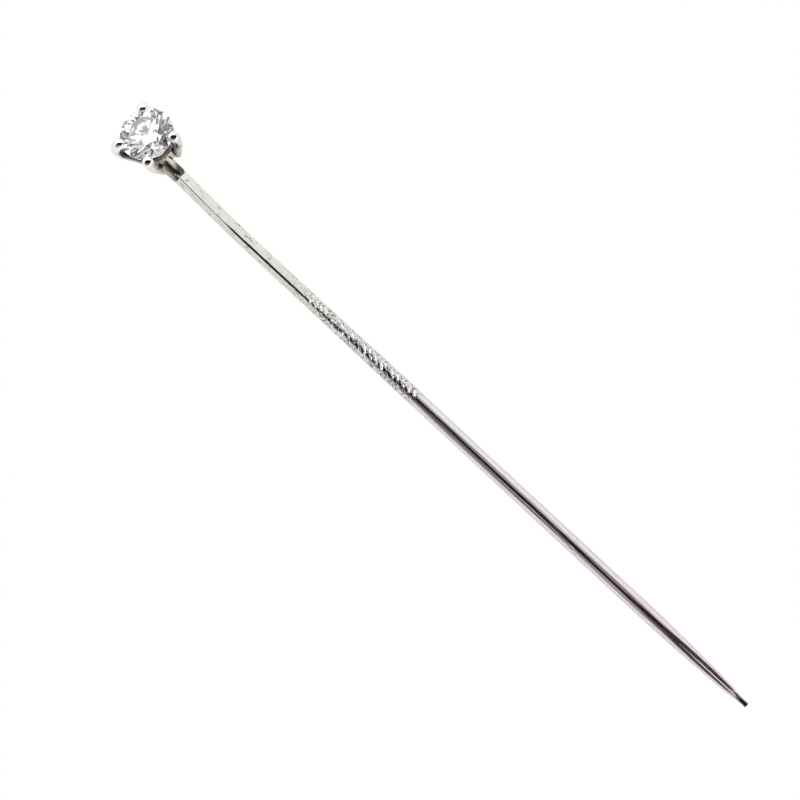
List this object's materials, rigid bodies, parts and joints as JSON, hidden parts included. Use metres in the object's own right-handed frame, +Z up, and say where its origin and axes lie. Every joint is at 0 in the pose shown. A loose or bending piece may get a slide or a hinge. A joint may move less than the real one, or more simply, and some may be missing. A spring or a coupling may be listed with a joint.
{
  "type": "hat pin",
  "caption": "Short stick pin: a round brilliant stone in a four-claw head, soldered to a wire stem with a squared end, a grooved grip and a tapered point.",
  "frame": {"origin": "centre of the bounding box, on the surface that the pin lies on", "axes": "+X along the stem towards the point, +Y to the right when the pin is worn head up, +Z up off the surface that it lies on, which is the way the stone faces"},
  "size_m": [0.057, 0.0042, 0.0052],
  "materials": {
    "stone": "colourless cut stone, polished facets",
    "head_metal": "polished warm white gold",
    "stem_metal": "polished white gold, lightly scratched",
    "solder": "dull solder, darkened with age"
  },
  "bodies": {
    "root": {"stone": "stone", "claw_lower_right": "head_metal", "claw_upper_right": "head_metal", "claw_upper_left": "head_metal", "claw_lower_left": "head_metal", "base_ring": "head_metal", "stem": "stem_metal", "solder": "solder"}
  },
  "joints": []
}
